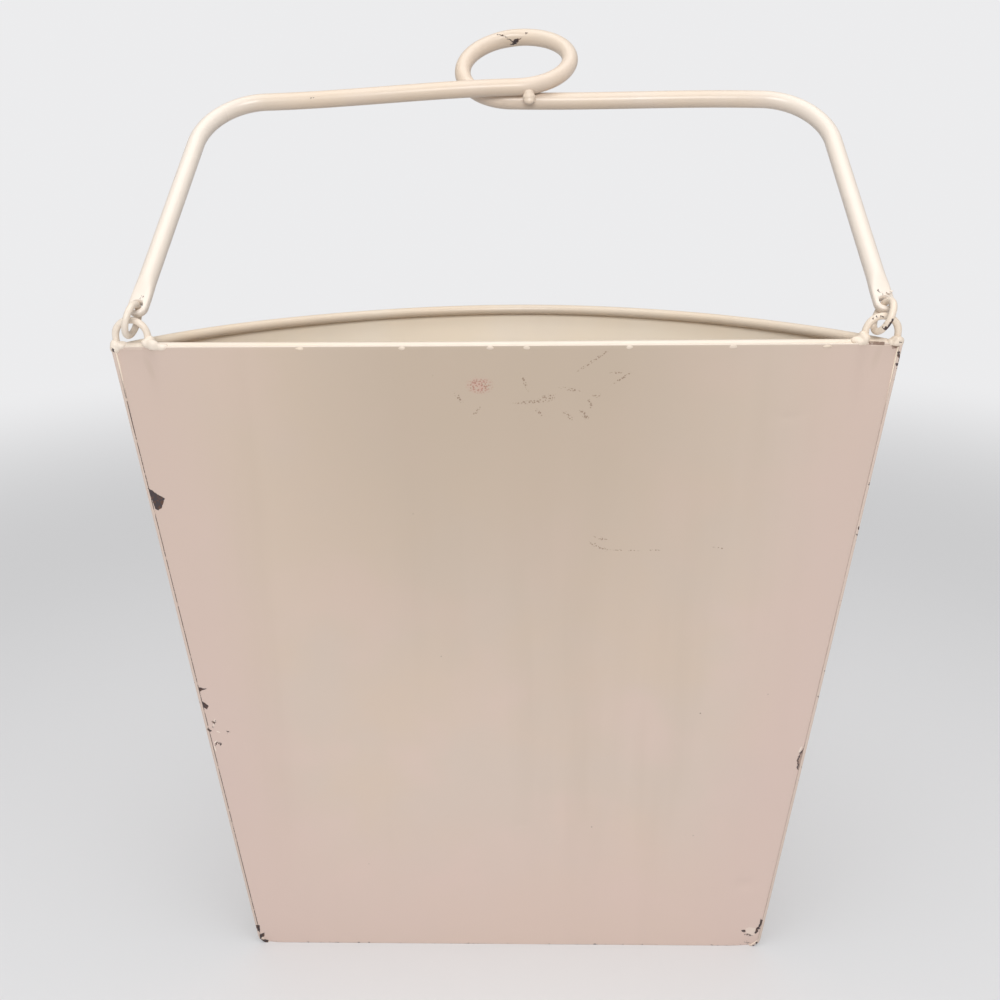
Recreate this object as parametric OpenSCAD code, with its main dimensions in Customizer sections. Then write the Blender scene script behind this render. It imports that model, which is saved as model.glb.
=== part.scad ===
// Painted steel wall bucket: a flat panel and a curved wall make a D-shaped, tapering pail.
// A round rod stiffens the rim, and a looped bail hangs from two ring links in wire staples.
// Millimetres. The bucket stands on z = 0 with its flat face towards -Y and its curve towards +Y.
// The origin is in the middle of the base, half way between the flat face and the curve.

/* [Bucket] */
// Outer width of the bucket at the rim, across the flat panel
top_width = 340; // [300:1:400]
// Outer width of the bucket at the base, across the flat panel
bottom_width = 269; // [230:1:290]
// Height of the sheet metal, from the base to the top edge
height = 325; // [260:1:400]
// Outer depth at the rim, from the flat face to the middle of the curve
top_depth = 105; // [90:1:125]
// Thickness of the sheet steel
sheet = 1; // [0.8:0.1:1.6]
// Gap left where two welded or soldered sheets meet
seam_gap = 0.1; // [0.05:0.05:0.2]
// Height of the flange turned up round the base, inside the walls
flange_height = 9; // [6:1:15]
// Radius of the fillet weld down each inside corner
seam_weld_radius = 2.6; // [2:0.2:4]

/* [Rim rod] */
// Diameter of the rod that stiffens the rim
rim_rod_d = 4.8; // [4:0.2:6]
// How far the middle of the rod lies below the top edge of the sheet
rim_rod_drop = 1.1; // [0.2:0.1:1.5]
// Places of the tack welds along the straight rod, from the middle
straight_tacks = [-88, -44, -6, 10, 54, 98]; // [-110:1:110]
// Distance from the right-hand corner of the rim in to the last tack weld of the straight rod
corner_tack = 32; // [28:1:40]
// Number of tack welds round the curve
tack_count = 7; // [5:1:9]
// Distance between tack welds round the curve
tack_pitch = 45; // [36:1:48]
// Radius of one tack weld
tack_radius = 1.7; // [1.4:0.1:2]

/* [Staples and ring links] */
// Distance from the corner of the rim in to the middle of each staple
staple_inset = 8.5; // [8:0.5:12]
// Wire diameter of a staple
staple_wire = 3; // [2.6:0.1:3.2]
// Radius of a staple's arch, at the middle of the wire
staple_radius = 7; // [6.8:0.1:7.6]
// Height of the wire at the top of the arch, above the top edge of the sheet
staple_rise = 11; // [10.8:0.1:13]
// How far the outer leg of a staple laps down over the corner
staple_lap = 2.5; // [2:0.1:5]
// Radius of the weld bead at each foot of a staple
foot_weld_radius = 2.9; // [2.2:0.1:3]
// Wire diameter of a ring link
ring_wire = 2.9; // [2.6:0.1:3]
// Radius of a ring link, at the middle of the wire
ring_radius = 6.9; // [6.8:0.1:7]
// How far in from the middle of its staple the left link hangs
left_link_in = 1; // [0.5:0.1:1.2]
// Turn of the left link in the hole of its eye
left_twist = 10; // [0:1:12]
// Turn of the right link in the hole of its eye
right_twist = 18; // [10:1:20]

/* [Bail] */
// Diameter of the rod that the bail is bent from
bail_rod_d = 8; // [7:0.2:8.4]
// Lean of the bail from upright, towards the curved side
bail_lean = 48; // [35:1:55]
// How far in from the middle of its staple the bail's left eye hangs
left_eye_in = 2.5; // [1.5:0.1:2.6]
// How far out from the middle of its staple the bail's right eye hangs
right_eye_out = 1.4; // [0.5:0.1:1.8]
// Angle by which the left leg leans in towards the crossbar
left_taper = 5.8; // [3:0.1:6]
// Angle by which the right leg leans in towards the crossbar
right_taper = 4.2; // [3:0.1:6]
// Bend radius at the two corners of the bail
corner_radius = 32; // [20:1:36]
// Slope of the left half of the crossbar, rising to the loop
left_rise = 1.9; // [0:0.1:2.5]
// Slope of the right half of the crossbar, rising to the loop
right_rise = 2.6; // [2:0.1:4]
// Distance from the hinge line to the middle of the loop
loop_reach = 160; // [140:0.5:190]
// Half of the loop's width, at the middle of the rod
loop_half_width = 27; // [24:0.5:32]
// Half of the loop's height, at the middle of the rod
loop_half_height = 21; // [19:0.5:26]
// Tilt of the loop in the plane of the bail
loop_tilt = 3; // [2.5:0.5:8]
// Sideways place of the middle of the loop
loop_shift = 5.2; // [-8:0.1:8]
// Gap between the two runs of rod where the loop crosses itself
crossing_gap = 0.3; // [0.2:0.1:0.6]
// Radius of the weld bead that ties the loop where it crosses
loop_weld_radius = 2.4; // [2:0.1:3]
// Radius of the rounded end of each flattened eye
eye_radius = 4.4; // [4.2:0.1:4.5]
// Thickness of the flattened eye
eye_thickness = 4.2; // [3.6:0.1:4.3]
// Diameter of the hole drilled through the eye
eye_hole_d = 5.6; // [5.5:0.1:5.9]
// Length over which the flattened eye swells back to the round rod
eye_blend = 12; // [8:1:20]

/* [Detail] */
// Facets round a circle
$fn = 64; // [32:8:128]
// Facets round a weld bead
bead_facets = 24; // [16:8:48]
// Sides of the bail's rod
rod_sides = 16; // [12:2:24]
// Steps round the loop of the bail
loop_steps = 32; // [24:4:48]

/* [Hidden] */

cream = "#e9dfcc";
warm_cream = "#e2d5bf";
rod_cream = "#f2eadb";

// The curved wall is part of a cone whose axis is upright, in front of the flat panel.
rim_radius = (pow(top_width / 2, 2) + pow(top_depth, 2)) / (2 * top_depth);
axis_setback = rim_radius - top_depth;
foot_radius = norm([bottom_width / 2, axis_setback]);
bottom_depth = foot_radius - axis_setback;
wall_slope = atan((rim_radius - foot_radius) / height);

// Radius of the cone that lies a distance "inset" inside the outer face, at height z.
function cone_radius(z, inset = 0) =
    foot_radius + (rim_radius - foot_radius) * z / height - inset / cos(wall_slope);

// Half of the width across the bucket at height z, on the plane a distance "depth" behind the face.
function half_width(z, depth = 0, inset = 0) =
    sqrt(pow(cone_radius(z, inset), 2) - pow(axis_setback + depth, 2));

inner = sheet + seam_gap;
rod_r = rim_rod_d / 2;
rod_y = sheet + seam_gap + rod_r;
rod_z = height - rim_rod_drop;
rod_arc_radius = cone_radius(rod_z, inner + rod_r);

// The staples stand over the straight rod. The hinge line is the middle of their top wire.
staple_x = top_width / 2 - staple_inset;
staple_r = staple_wire / 2;
arch_z = height + staple_rise - staple_radius;
hinge_z = height + staple_rise;
foot_z = height - staple_lap;

// The bail has slid to the right in the slack of its links, and both links lean with it.
// Each link's middle lies on the hinge line, and the eye of the bail is drilled where it passes.
ring_r = ring_wire / 2;
function link_x(side) = side < 0 ? -(staple_x - left_link_in) : staple_x;
function eye_x(side) = side < 0 ? -(staple_x - left_eye_in) : staple_x + right_eye_out;
function eye_reach(side) = sqrt(pow(ring_radius, 2) - pow(eye_x(side) - link_x(side), 2));

bail_r = bail_rod_d / 2;
crossing_half = bail_r + crossing_gap / 2;

// Distance from the middle of the pail to a leg's middle line, at the hinge line.
function taper(side) = side < 0 ? left_taper : right_taper;
function leg_x(side) = abs(eye_x(side)) + eye_reach(side) * tan(taper(side));

// Exponent of the section's outline at the flat of an eye, where 1 is an ellipse.
flat_roundness = 0.55;

// Places of the panel's frame in the part's frame.
module in_place() {
    translate([0, -bottom_depth / 2, 0]) children();
}

// Solid cone between two heights, a distance "inset" inside the outer face of the wall.
module cone_body(z0, z1, inset = 0) {
    translate([0, -axis_setback, z0])
        cylinder(h = z1 - z0, r1 = cone_radius(z0, inset), r2 = cone_radius(z1, inset), $fn = 4 * $fn);
}

// Everything behind the plane "depth" behind the flat face.
module behind(depth, z0, z1) {
    translate([-top_width, depth, z0])
        cube([2 * top_width, 2 * top_depth, z1 - z0]);
}

// D-shaped solid that fits inside the walls.
module d_body(z0, z1, inset, depth) {
    intersection() {
        cone_body(z0, z1, inset);
        behind(depth, z0, z1);
    }
}

// Flat front sheet, set between the cut edges of the curved wall.
module flat_panel() {
    color(cream) in_place() intersection() {
        cone_body(0, height, inner);
        translate([-top_width, 0, 0]) cube([2 * top_width, sheet, height]);
    }
}

// Curved sheet, rolled to a cone and cut flush with the flat face.
module curved_wall() {
    color(cream) in_place() difference() {
        d_body(0, height, 0, 0);
        cone_body(-1, height + 1, sheet);
    }
}

// D-shaped base with a flange turned up inside both walls.
module base_pan() {
    color(warm_cream) in_place() difference() {
        d_body(0, flange_height, inner, inner);
        d_body(sheet, flange_height + 1, inner + sheet, inner + sheet);
    }
}

// Fillet weld that closes one inside corner, from the base flange to the rim rod.
module seam_weld(side) {
    z0 = flange_height + sheet;
    z1 = rod_z - rod_r - sheet;
    inset = inner + seam_gap;
    low = [side * half_width(z0, inset, inset), inset, z0];
    high = [side * half_width(z1, inset, inset), inset, z1];
    run = high - low;
    color(warm_cream) in_place() intersection() {
        d_body(z0, z1, inset, inset);
        translate(low)
            rotate([0, atan2(run.x, run.z), 0])
                translate([0, 0, -seam_weld_radius])
                    cylinder(h = norm(run) + 2 * seam_weld_radius, r = seam_weld_radius);
    }
}

// Straight rod from wall to wall, fattened by "grow" where another piece is cut to fit against it.
module straight_rod_body(grow = 0) {
    intersection() {
        translate([-top_width / 2, rod_y, rod_z])
            rotate([0, 90, 0])
                cylinder(h = top_width, r = rod_r + grow);
        cone_body(rod_z - rim_rod_d, rod_z + rim_rod_d, inner - grow);
    }
}

// Straight rod behind the top edge of the flat panel.
module straight_rim_rod() {
    color(rod_cream) in_place() straight_rod_body();
}

// Rod bent round the inside of the curved rim, its ends coped on the straight rod.
module curved_rim_rod() {
    color(rod_cream) in_place() difference() {
        intersection() {
            translate([0, -axis_setback, rod_z])
                rotate_extrude($fn = 4 * $fn)
                    translate([rod_arc_radius, 0])
                        circle(r = rod_r);
            behind(rod_y, rod_z - rim_rod_d, rod_z + rim_rod_d);
        }
        straight_rod_body(seam_gap);
    }
}

// Tack welds between the sheet edge and the rod, along the flat panel and round the curve.
module rim_tack_welds() {
    color(rod_cream) in_place() {
        for (x = concat(straight_tacks, top_width / 2 - corner_tack))
            translate([x, sheet / 2, height])
                sphere(r = tack_radius, $fn = bead_facets);
        for (i = [0 : tack_count - 1])
            translate([0, -axis_setback, height])
                rotate([0, 0, (i - (tack_count - 1) / 2) * tack_pitch / rim_radius * 180 / PI])
                    translate([0, rim_radius - sheet / 2, 0])
                        sphere(r = tack_radius, $fn = bead_facets);
    }
}

// One wire staple: an arch with its inner leg on the rod and its outer leg over the corner.
module staple(side) {
    color(rod_cream) in_place() difference() {
        translate([side * staple_x, rod_y, arch_z]) {
            rotate([90, 0, 0])
                rotate_extrude(angle = 180)
                    translate([staple_radius, 0])
                        circle(r = staple_r);
            translate([-side * staple_radius, 0, rod_z - arch_z])
                cylinder(h = arch_z - rod_z, r = staple_r);
            translate([side * staple_radius, 0, foot_z - arch_z])
                cylinder(h = arch_z - foot_z, r = staple_r);
        }
        straight_rod_body(seam_gap);
        cone_body(foot_z - 1, height + seam_gap, -seam_gap);
    }
}

// Weld beads at the two feet of one staple.
module staple_welds(side) {
    color(rod_cream) in_place() {
        translate([side * (staple_x - staple_radius - staple_r / 2), rod_y - rod_r, height + rod_r / 2])
            sphere(r = foot_weld_radius, $fn = bead_facets);
        translate([side * (staple_x + staple_radius - staple_r / 2), rod_y - rod_r, height])
            sphere(r = foot_weld_radius, $fn = bead_facets);
    }
}

// The bail is worked out in its own plane: x across, z along the legs from the hinge line,
// and y out of the plane, with the front of the bail towards -y.
function turn2(v, a) = [v.x * cos(a) - v.y * sin(a), v.x * sin(a) + v.y * cos(a)];

// Point of the loop at angle t, counted from the bottom of the loop.
function loop_point(t) =
    [loop_shift, loop_reach] + turn2([loop_half_width * sin(t), -loop_half_height * cos(t)], loop_tilt);

// Angle at which the loop runs at the slope "rise".
function loop_angle(rise) = atan(loop_half_width / loop_half_height * tan(rise - loop_tilt));

loop_start = loop_angle(left_rise);
loop_end = 360 + loop_angle(-right_rise);

// Height of one half of the crossbar over the middle, if it ran on straight.
function bar_middle(p, rise) = p.y + abs(p.x) * (p.x > 0 ? -1 : 1) * tan(rise);

// Corner where the middle lines of a leg and of its half of the crossbar meet.
function corner_z(middle, rise, side) =
    (middle - leg_x(side) * tan(rise)) / (1 - tan(taper(side)) * tan(rise));

// Points round a corner, from the leg to the crossbar, with the leg to the left.
function corner_points(middle, rise, side, steps = 8) =
    let (
        z = corner_z(middle, rise, side),
        bend = 90 - taper(side) - rise,
        tangent = corner_radius * tan(bend / 2),
        leg = [sin(taper(side)), cos(taper(side))],
        centre = [-(leg_x(side) - z * tan(taper(side))), z] - leg * tangent
            + corner_radius * [cos(taper(side)), -sin(taper(side))]
    )
    [for (i = [0 : steps]) let (a = 180 - taper(side) - bend * i / steps)
        centre + corner_radius * [cos(a), sin(a)]];

// Smooth step from 0 to 1.
function ease(t) = t * t * (3 - 2 * t);

function mix(a, b, t) = a + (b - a) * t;

// Section of the leg at a distance d past the middle of the eye's hole, where the rod is round
// beyond the blend and a flat with rounded edges at the eye: [half width, half thickness, roundness].
function leg_section(d) =
    let (
        past = max(0, d - eye_radius),
        k = past >= eye_blend ? 1 : ease(past / eye_blend),
        end = d < 0 ? sqrt(max(0, 1 - pow(d / eye_radius, 2))) : 1
    )
    [
        mix(eye_radius, bail_r, k) * end,
        mix(eye_thickness / 2, bail_r, k) * mix(flat_roundness, 1, end),
        mix(flat_roundness, 1, k)
    ];

// Places of the rings of points along the eye: round its end, past its hole and up its blend.
// The first ring lies a few degrees short of the tip, and closes the end with a small flat.
tip_angle = 8;
end_steps = 5;
blend_steps = 6;
eye_steps = [
    for (i = [0 : end_steps - 1]) -eye_radius * cos(mix(tip_angle, 90, i / (end_steps - 1))),
    eye_radius / 2,
    for (i = [0 : blend_steps]) eye_radius + eye_blend * i / blend_steps
];

// Half of the bail from its eye to its loop, as [x, y, z, half width, half thickness, roundness].
// It is laid out with its leg to the left, for either side.
function half_bail(middle, rise, side) =
    let (
        corner = corner_points(middle, rise, side),
        last = corner[len(corner) - 1],
        bar_steps = 5
    )
    concat(
        [for (d = eye_steps)
            let (z = eye_reach(side) + d * cos(taper(side)))
            concat([-leg_x(side) + z * tan(taper(side)), 0, z], leg_section(d))],
        [for (p = corner) [p.x, 0, p.y, bail_r, bail_r, 1]],
        [for (i = [1 : bar_steps - 1])
            let (t = i / bar_steps)
            [last.x * (1 - t), -crossing_half * ease(t),
                last.y + (middle - last.y) * t, bail_r, bail_r, 1]]
    );

function mirrored(path) =
    [for (i = [len(path) - 1 : -1 : 0])
        let (p = path[i]) [-p[0], -p[1], p[2], p[3], p[4], p[5]]];

bail_path = concat(
    half_bail(bar_middle(loop_point(loop_start), left_rise), left_rise, -1),
    [for (i = [0 : loop_steps])
        let (
            t = i / loop_steps,
            p = loop_point(loop_start + (loop_end - loop_start) * t)
        )
        [p.x, -crossing_half * cos(180 * t), p.y, bail_r, bail_r, 1]],
    mirrored(half_bail(bar_middle(loop_point(loop_end), right_rise), right_rise, 1))
);

function unit(v) = v / norm(v);
function place(path, i) = [path[i][0], path[i][1], path[i][2]];
function heading(path, i) =
    unit(place(path, min(i + 1, len(path) - 1)) - place(path, max(i - 1, 0)));
function signed_power(v, k) = sign(v) * pow(abs(v), k);

// One ring of points round the path at step i.
function rod_ring(path, i) =
    let (
        along = heading(path, i),
        across = unit(cross([0, 1, 0], along)),
        out = cross(along, across)
    )
    [for (j = [0 : rod_sides - 1])
        let (a = 360 * j / rod_sides)
        place(path, i)
            + across * path[i][3] * signed_power(cos(a), path[i][5])
            + out * path[i][4] * signed_power(sin(a), path[i][5])];

// Skin of a rod swept along a path, closed at both ends.
module swept_rod(path) {
    rings = len(path);
    points = [for (i = [0 : rings - 1]) each rod_ring(path, i)];
    skin = [for (i = [0 : rings - 2], j = [0 : rod_sides - 1])
        let (
            a = i * rod_sides + j,
            b = i * rod_sides + (j + 1) % rod_sides
        )
        each [[a, b + rod_sides, b], [a, a + rod_sides, b + rod_sides]]];
    caps = [
        [for (j = [0 : rod_sides - 1]) j],
        [for (j = [rod_sides - 1 : -1 : 0]) (rings - 1) * rod_sides + j]
    ];
    polyhedron(points = points, faces = concat(skin, caps));
}

// From the bail's own plane to its place, leaning on the hinge line.
module on_bail() {
    in_place() translate([0, rod_y, hinge_z]) rotate([-bail_lean, 0, 0]) children();
}

// Bail bent from one rod, with a twisted loop at the middle and a drilled eye at each end.
module bail() {
    color(rod_cream) on_bail() difference() {
        swept_rod(bail_path);
        for (side = [-1, 1])
            translate([eye_x(side), 0, eye_reach(side)])
                rotate([90, 0, 0])
                    cylinder(h = 4 * bail_r, d = eye_hole_d, center = true);
    }
}

// Closed ring link, leaning from its staple to the eye of the bail and turned in the eye's hole.
module ring_link(side) {
    lean = atan2(eye_x(side) - link_x(side), eye_reach(side));
    color(rod_cream) on_bail()
        translate([link_x(side), 0, 0])
            rotate([0, lean, 0])
                rotate([0, 0, side < 0 ? left_twist : right_twist])
                    rotate([0, 90, 0])
                        rotate_extrude()
                            translate([ring_radius, 0])
                                circle(r = ring_r);
}

// Weld bead between the two runs of rod where the loop crosses itself.
module loop_tack_weld() {
    middle = loop_point(loop_start);
    color(rod_cream) on_bail()
        translate([loop_shift + bail_r, -crossing_half / 2, middle.y - bail_r + crossing_gap])
            sphere(r = loop_weld_radius, $fn = bead_facets);
}

flat_panel();
curved_wall();
base_pan();
seam_weld(-1);  // left_seam_weld
seam_weld(1);  // right_seam_weld
straight_rim_rod();
curved_rim_rod();
rim_tack_welds();
staple(-1);  // left_staple
staple(1);  // right_staple
staple_welds(-1);  // left_staple_welds
staple_welds(1);  // right_staple_welds
ring_link(-1);  // left_ring
ring_link(1);  // right_ring
bail();
loop_tack_weld();
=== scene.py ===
# Cream-painted steel wall bucket with a swinging, looped bail.
# Metres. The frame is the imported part's own: +Z up, the flat panel towards -Y, the curve towards +Y.

import math

import bpy
import numpy as np
from mathutils import Matrix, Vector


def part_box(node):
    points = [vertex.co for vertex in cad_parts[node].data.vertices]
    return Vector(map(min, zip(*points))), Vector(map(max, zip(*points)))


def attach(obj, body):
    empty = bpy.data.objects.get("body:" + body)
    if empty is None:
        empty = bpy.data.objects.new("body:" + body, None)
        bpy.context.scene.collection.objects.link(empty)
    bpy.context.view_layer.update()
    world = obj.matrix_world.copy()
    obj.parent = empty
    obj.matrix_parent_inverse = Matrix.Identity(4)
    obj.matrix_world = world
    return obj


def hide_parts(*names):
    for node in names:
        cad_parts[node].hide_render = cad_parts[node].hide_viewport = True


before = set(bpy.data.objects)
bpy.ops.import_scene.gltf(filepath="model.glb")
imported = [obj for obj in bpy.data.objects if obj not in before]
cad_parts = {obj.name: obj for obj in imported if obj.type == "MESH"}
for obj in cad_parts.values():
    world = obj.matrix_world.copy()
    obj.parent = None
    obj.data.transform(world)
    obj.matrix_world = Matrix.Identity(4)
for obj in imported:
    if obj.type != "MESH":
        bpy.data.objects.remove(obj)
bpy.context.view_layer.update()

MM = 0.001
SEED = 7

# Camera
# It stands in front of the panel and a little above the rim, tipped down at it.
# Its place and turns are those that put the pail's corners where the picture has them.
CAMERA_PLACE = np.array([7.2, -462.8, 407.9]) * MM
CAMERA_DIP = 19.82
CAMERA_YAW = -1.26
CAMERA_ROLL = -0.52
IMAGE_WIDTH = 1000
FOCAL_PIXELS = 1000
SENSOR = 36


def look_matrix(place, dip, yaw, roll):
    """Camera matrix from a place and its turns: forward is +Y turned by yaw and dipped, then rolled."""
    a, b, c = np.radians([dip, yaw, roll])
    forward = np.array([math.sin(b) * math.cos(a), math.cos(b) * math.cos(a), -math.sin(a)])
    right = np.array([math.cos(b), -math.sin(b), 0])
    up = np.cross(right, forward)
    across = right * math.cos(c) + up * math.sin(c)
    upright = up * math.cos(c) - right * math.sin(c)
    turned = np.eye(4)
    turned[:3, 0], turned[:3, 1], turned[:3, 2], turned[:3, 3] = across, upright, -forward, place
    return Matrix(turned.tolist())


camera = bpy.data.objects.new("camera", bpy.data.cameras.new("camera"))
bpy.context.collection.objects.link(camera)
camera.matrix_world = look_matrix(CAMERA_PLACE, CAMERA_DIP, CAMERA_YAW, CAMERA_ROLL)
camera.data.sensor_width = SENSOR
camera.data.lens = SENSOR * FOCAL_PIXELS / IMAGE_WIDTH
camera.data.clip_start = 0.02
bpy.context.scene.camera = camera

# Paint
# Every surface of the pail has one old coat of cream enamel, brushed or sprayed over bare steel.
# It has yellowed in patches, has flecks of dirt, and has chipped to dark steel at the edges.
# The panel's tones below are a darker copy of that one coat and the rods' a lighter one: the difference is
# painted shade on the panel and painted light on the rods and the small parts that share their tones.
PANEL_TONES = [(0.603, 0.497, 0.425), (0.620, 0.497, 0.408), (0.652, 0.505, 0.444), (0.46, 0.37, 0.285)]
ROD_TONES = [(0.785, 0.690, 0.590), (0.790, 0.670, 0.545), (0.780, 0.675, 0.585), (0.60, 0.50, 0.39)]
# The inside's tones are lighter still: painted light on the inner face of the curved wall, for the light
# that falls into the mouth.
INSIDE_LIT_TONES = [(0.920, 0.825, 0.690), (0.920, 0.800, 0.640), (0.900, 0.795, 0.665), (0.76, 0.65, 0.51)]
BARE_STEEL = (0.055, 0.040, 0.042)
RUST = (0.105, 0.052, 0.034)
RED_FLECK = (0.30, 0.080, 0.055)
BROWN_FLECK = (0.17, 0.095, 0.055)
RED_STAIN = (0.52, 0.290, 0.245)
# Painted highlight on curled, lifted paint.
LIFTED_PAINT_GLINT = (0.86, 0.79, 0.68)
# Dark brown for the worn blister, and for painted shade beside the right staple.
WORN_THIN_AND_SHADE = (0.24, 0.155, 0.115)
DIRT = (0.16, 0.12, 0.09)
# An outline of a bare patch marks only what lies in front of this.
FRONT = -34 * MM
# How far the edges of chips are frayed, and how much less those of the outlined patches are.
FRAY = 3.2 * MM
NIBBLE = 0.3
BUMP_DEPTH = 0.22 * MM
GLASSY = 1.48


class Value:
    """A socket that can be reckoned with: each operator adds the Math node that works it out."""

    def __init__(self, paint, socket):
        self.paint = paint
        self.socket = socket

    def reckon(self, operation, *terms):
        return self.paint.node("Math", {"operation": operation}, *terms)

    def __add__(self, other):
        return self.reckon("ADD", self, other)

    def __sub__(self, other):
        return self.reckon("SUBTRACT", self, other)

    def __rsub__(self, other):
        return self.reckon("SUBTRACT", other, self)

    def __mul__(self, other):
        return self.reckon("MULTIPLY", self, other)

    def __lt__(self, other):
        return self.reckon("LESS_THAN", self, other)

    def __abs__(self):
        return self.reckon("ABSOLUTE", self)

    def __or__(self, other):
        return self.reckon("MAXIMUM", self, other)

    __radd__ = __add__
    __rmul__ = __mul__


class Paint:
    """One material. Its node method adds any node: settings first, then its sockets' values or links."""

    def __init__(self, name):
        self.material = bpy.data.materials.new(name)
        self.material.use_nodes = True
        self.tree = self.material.node_tree
        self.tree.nodes.clear()

    def node(self, kind, settings, *terms, out=0, **named):
        made = self.tree.nodes.new("ShaderNode" + kind)
        for setting, value in settings.items():
            setattr(made, setting, value)
        sockets = [s for s in made.inputs if s.enabled]
        wanted = list(zip(sockets, terms))
        wanted += [(next(s for s in sockets if s.name == k.replace("_", " ")), v) for k, v in named.items()]
        for socket, value in wanted:
            if isinstance(value, Value):
                self.tree.links.new(value.socket, socket)
            elif socket.type == "RGBA" and len(value) == 3:
                socket.default_value = (*value, 1)
            else:
                socket.default_value = value
        shown = [s for s in made.outputs if s.enabled]
        return Value(self, shown[out]) if shown else made

    def place(self):
        return self.node("TexCoord", {}, out=3)

    def noise(self, where, scale, detail=2.0, roughness=0.5, out=0):
        return self.node(
            "TexNoise", {}, Vector=where, Scale=scale, Detail=detail, Roughness=roughness, out=out
        )

    def stretch(self, where, scale):
        return self.node("VectorMath", {"operation": "MULTIPLY"}, where, scale)

    def shift(self, where, by):
        return self.node("VectorMath", {"operation": "ADD"}, where, by)

    def step(self, value, low, high):
        return self.node(
            "MapRange", {"interpolation_type": "SMOOTHSTEP"}, Value=value, From_Min=low, From_Max=high
        )

    def mix(self, factor, first, second):
        return self.node("Mix", {"data_type": "RGBA"}, factor, first, second)

    def spots(self, where, spots, edge=0.12):
        """Mask of ellipsoids, each (x, y, z, rx, ry, rz) in millimetres and, where it slopes, an angle
        in degrees: 1 where the nearest one's scaled distance is under 1."""
        mask = None
        for x, y, z, rx, ry, rz, *slope in spots:
            turn = (0, -math.radians(slope[0]) if slope else 0, 0)
            centre, half = (tuple(c * MM for c in v) for v in ((x, y, z), (rx, ry, rz)))
            scaled = self.node("Mapping", {"vector_type": "TEXTURE"}, where, centre, turn, half)
            far = self.node("VectorMath", {"operation": "LENGTH"}, scaled)
            near = 1 - self.step(far, 1 - edge, 1 + edge)
            mask = near if mask is None else mask | near
        return mask

    def patches(self, where, patches, edge=0.15 * MM):
        """Mask of convex outlines on the front, each a list of (x, z) corners in millimetres: 1 where
        the place lies behind every side, that is where the largest distance outside a side is under 0."""
        mask = None
        for corners in patches:
            far = None
            middle = np.mean(corners, 0)
            for (x0, z0), (x1, z1) in zip(corners, corners[1:] + corners[:1]):
                corner = np.array([x0, z0])
                out = np.array([z1 - z0, x0 - x1]) / math.hypot(x1 - x0, z1 - z0)
                out *= 1 if out @ (corner - middle) > 0 else -1
                along = self.node("VectorMath", {"operation": "DOT_PRODUCT"}, where, (out[0], 0, out[1]))
                side = along - float(out @ corner) * MM
                far = side if far is None else far | side
            inside = 1 - self.step(far, -edge, edge)
            mask = inside if mask is None else mask | inside
        return mask

    def dots(self, where, scale, size, share):
        """Mask of round dots, one at most in each cell of a random mesh, in a share of its cells."""
        cells = self.node("TexVoronoi", {"feature": "F1"}, Vector=where, Scale=scale).socket.node
        far = Value(self, cells.outputs["Distance"])
        kind = self.node("SeparateColor", {}, Value(self, cells.outputs["Color"]))
        return (1 - self.step(far, size * 0.6, size)) * (kind < share)


def enamel(
    name, tones, chips=(), patches=(), wear=None, extra=None, streaks=0.0, gloss=0.36, orange_peel=0.05
):
    """The old cream coat. tones are its main, warm, pink and shaded colours. It is gone in the chips,
    which are ellipsoids, in the patches, which are outlines on the front, and where wear(paint, x, y,
    z, rough) says. extra(paint, where, x, y, z, colour) gives the coat what it has in some places
    only, and streaks is how strong its brushed-out runs are."""
    paint = Paint(name)
    where = paint.place()
    split = paint.node("SeparateXYZ", {}, where).socket.node
    x, y, z = (Value(paint, split.outputs[i]) for i in range(3))

    broad = paint.noise(where, 13, detail=3, roughness=0.55)
    patchy = paint.noise(paint.shift(where, (3.1, 1.7, 5.2)), 21, detail=2)
    runs = paint.noise(paint.stretch(where, (34, 34, 3.2)), 1, detail=3)
    plain, warm, pink, shaded = tones
    colour = paint.mix(paint.step(broad, 0.36, 0.66), plain, warm)
    colour = paint.mix(paint.step(patchy, 0.45, 0.72) * 0.6, colour, pink)
    if streaks:
        colour = paint.mix(paint.step(runs, 0.48, 0.78) * streaks, colour, shaded)

    rough = paint.noise(where, 420, detail=4, roughness=0.65)
    jitter = paint.node(
        "VectorMath",
        {"operation": "MULTIPLY_ADD"},
        paint.noise(where, 290, detail=4, roughness=0.7, out=1),
        (2 * FRAY,) * 3,
        (-FRAY,) * 3,
    )
    frayed = paint.node("VectorMath", {"operation": "ADD"}, where, jitter)

    bare = None
    if chips:
        bare = paint.spots(frayed, chips)
    if patches:
        nibbled = paint.node("VectorMath", {"operation": "MULTIPLY_ADD"}, jitter, (NIBBLE,) * 3, where)
        bare = bare | paint.patches(nibbled, patches) * (y < FRONT)
    if wear:
        worn = wear(paint, x, y, z, rough)
        bare = worn if bare is None else bare | worn
    colour = paint.mix(paint.dots(where, 95, 0.045, 0.14) * 0.75, colour, DIRT)
    if extra:
        colour = extra(paint, where, x, y, z, colour)
    height = paint.noise(where, 950, detail=1) * orange_peel + paint.noise(where, 150, detail=2) * 0.25
    roughness = gloss + paint.step(broad, 0.3, 0.8) * 0.08
    if bare is not None:
        metal = paint.mix(paint.step(paint.noise(where, 700, detail=2), 0.5, 0.68), BARE_STEEL, RUST)
        colour = paint.mix(bare, colour, metal)
        height = height - bare
        roughness = roughness + bare * 0.3
    bump = paint.node("Bump", {}, Strength=0.55, Distance=BUMP_DEPTH, Height=height)
    shader = paint.node(
        "BsdfPrincipled", {}, Base_Color=colour, Roughness=roughness, Normal=bump, IOR=GLASSY
    )
    paint.node("OutputMaterial", {}, Surface=shader)
    return paint.material


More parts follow.
